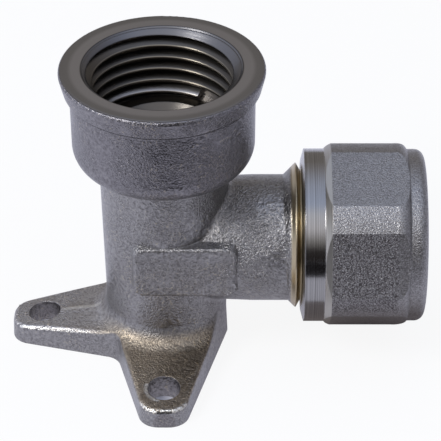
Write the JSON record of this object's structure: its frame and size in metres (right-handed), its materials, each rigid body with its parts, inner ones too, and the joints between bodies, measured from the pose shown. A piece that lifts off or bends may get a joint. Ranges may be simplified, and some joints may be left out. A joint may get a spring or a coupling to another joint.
{
  "type": "wall plate elbow",
  "caption": "Wall plate elbow: a threaded socket on a screw plate with three ears, and a side branch that clamps a pipe with a hexagon compression nut.",
  "frame": {"origin": "on the wall, under the plate, on the axis of the threaded socket", "axes": "+Z out of the wall along the threaded socket, +X out along the branch and its nut, ears towards -X, -Y and +Y"},
  "size_m": [0.0576, 0.0438, 0.0437],
  "materials": {
    "plated_forging": "nickel plate on blasted forged brass, satin",
    "plated_nut": "nickel plate, satin hexagon and turned bright skirt",
    "bare_brass": "turned brass",
    "seal_rubber": "smooth moulded rubber",
    "washer_plastic": "turned white plastic"
  },
  "bodies": {
    "fitting": {"elbow_body": "plated_forging", "tail_o_ring_inner": "seal_rubber", "tail_o_ring_outer": "seal_rubber", "insulating_washer": "washer_plastic"},
    "ring": {"split_ring": "bare_brass"},
    "nut": {"compression_nut": "plated_nut"}
  },
  "joints": [
    {"name": "nut_travel", "type": "slide", "parent": "fitting", "child": "ring", "axis": [1, 0, 0], "range_m": [-0.0005, 0.0075]},
    {"name": "nut_turn", "type": "hinge", "parent": "ring", "child": "nut", "pos_m": [0.0272, 0, 0.0165], "axis": [1, 0, 0], "range_deg": [-120, 1800]}
  ],
  "couplings": [
    {"joint": "nut_travel", "follows": "nut_turn", "m_per_rad": 0.00023873}
  ]
}
